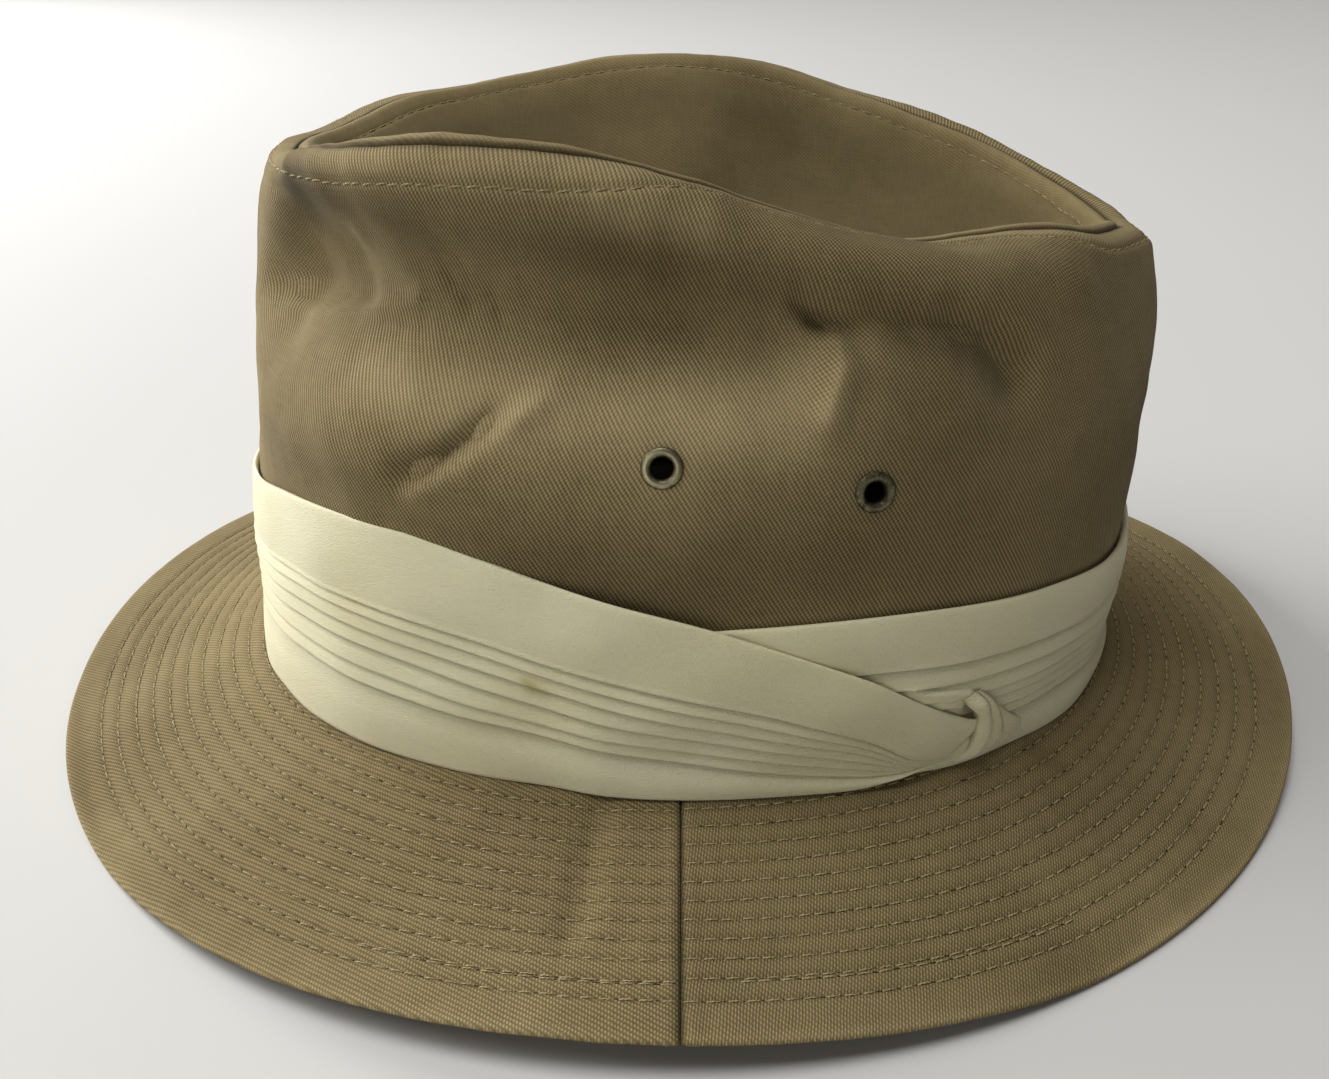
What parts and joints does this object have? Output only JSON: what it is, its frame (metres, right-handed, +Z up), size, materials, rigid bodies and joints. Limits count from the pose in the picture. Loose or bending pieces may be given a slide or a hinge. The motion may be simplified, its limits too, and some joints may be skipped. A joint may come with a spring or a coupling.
{
  "type": "cotton fedora",
  "caption": "Soft twill fedora with a sunken crown top, a quilted drooping brim, vent eyelets and a pleated cloth band.",
  "frame": {"origin": "on the surface that the hat rests on, below the middle of its box", "axes": "+Z up, -Y towards the front of the hat, +X towards its left side, which carries the knot of the band"},
  "size_m": [0.2762, 0.3115, 0.145],
  "materials": {
    "twill": "matt olive-tan cotton twill, stitched, soft with wear",
    "crepe": "matt cream crepe in soft pleats, a little soiled",
    "eyelet_brass": "antiqued dark brass, worn brighter on its rolled edge"
  },
  "bodies": {
    "root": {"crown_side": "twill", "crown_tip": "twill", "brim_back": "twill", "brim_front": "twill", "band": "crepe", "band_knot": "crepe", "eyelet_left_front": "eyelet_brass", "eyelet_left_back": "eyelet_brass", "eyelet_right_front": "eyelet_brass", "eyelet_right_back": "eyelet_brass"}
  },
  "joints": []
}
